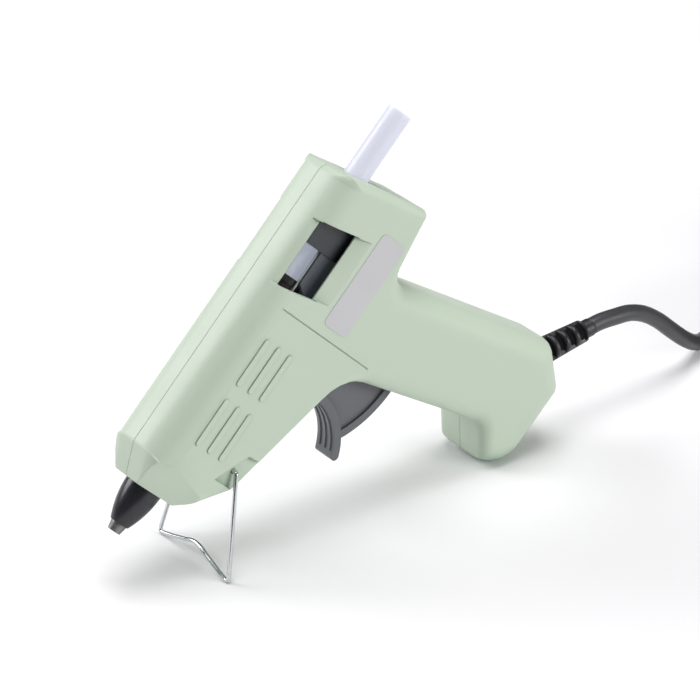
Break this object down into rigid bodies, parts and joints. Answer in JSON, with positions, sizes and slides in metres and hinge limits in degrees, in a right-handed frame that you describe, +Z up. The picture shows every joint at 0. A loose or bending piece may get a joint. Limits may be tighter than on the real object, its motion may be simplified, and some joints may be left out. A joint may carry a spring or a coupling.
{
  "type": "glue gun",
  "caption": "Small hot-melt glue gun standing on its fold-out wire stand, with trigger feed, glue stick, strain relief and a folded and tied mains lead with plug.",
  "frame": {"origin": "on the floor, under the middle of the standing gun", "axes": "+Z up from the floor, +X from the nozzle towards the lead, +Y across the body to its right-hand half"},
  "size_m": [0.3393, 0.047, 0.1179],
  "materials": {
    "shell_plastic": "fine spark-eroded texture, pale sage green",
    "zinc_screws": "zinc plated",
    "nozzle_brass": "turned",
    "sleeve_rubber": "moulded, slightly glossy",
    "chamber_aluminium": "die cast",
    "heater_ceramic": "wrapped element",
    "clip_steel": "sprung strip",
    "inlet_silicone": "silicone",
    "glue": "translucent hot-melt glue",
    "inner_plastic": "moulded",
    "pin_steel": "ground",
    "trigger_plastic": "moulded dark grey",
    "stand_wire": "bright drawn wire",
    "lead_pvc": "soft PVC",
    "lead_cores": "insulated cores",
    "crimp_nylon": "nylon",
    "tie_plastic": "soft plastic",
    "plug_plastic": "moulded",
    "pin_nickel": "nickel plated"
  },
  "bodies": {
    "body": {"left_shell": "shell_plastic", "right_shell": "shell_plastic", "case_screws": "zinc_screws", "nozzle": "nozzle_brass", "nozzle_sleeve": "sleeve_rubber", "melt_chamber": "chamber_aluminium", "ptc_heater": "heater_ceramic", "heater_clip": "clip_steel", "inlet_sleeve": "inlet_silicone", "sleeve_clamp": "clip_steel", "trigger_pivot": "pin_steel", "return_spring": "clip_steel", "strain_relief": "lead_pvc", "cord_clamp": "inner_plastic", "clamp_screws": "zinc_screws", "heater_leads": "lead_cores", "crimp_sleeves": "crimp_nylon", "power_cord": "lead_pvc", "cord_coil": "lead_pvc", "cord_tie": "tie_plastic", "plug_body": "plug_plastic", "plug_pins": "pin_nickel"},
    "trigger": {"trigger": "trigger_plastic"},
    "carriage": {"carriage": "inner_plastic", "jaw_pin": "pin_steel", "glue_stick": "glue"},
    "grip_jaw": {"grip_jaw": "clip_steel"},
    "stand": {"wire_stand": "stand_wire"}
  },
  "joints": [
    {"name": "trigger_hinge", "type": "hinge", "parent": "body", "child": "trigger", "pos_m": [-0.01563, 0, 0.05703], "axis": [0, -1, 0], "range_deg": [0, 22], "stiffness_Nm_per_rad": 0.35, "springref_deg": -20.05, "deforming": ["return_spring"]},
    {"name": "carriage_slide", "type": "slide", "parent": "body", "child": "carriage", "axis": [-0.6984, 0, -0.7157], "range_m": [0, 0.00691]},
    {"name": "jaw_hinge", "type": "hinge", "parent": "carriage", "child": "grip_jaw", "pos_m": [-0.00748, 0, 0.084], "axis": [0, 1, 0], "range_deg": [0, 2]},
    {"name": "stand_hinge", "type": "hinge", "parent": "body", "child": "stand", "pos_m": [-0.0496, 0, 0.02995], "axis": [0, -1, 0], "range_deg": [0, 110]}
  ],
  "couplings": [
    {"joint": "carriage_slide", "follows": "trigger_hinge", "m_per_rad": 0.018},
    {"joint": "jaw_hinge", "follows": "trigger_hinge", "ratio": 0.090909}
  ]
}
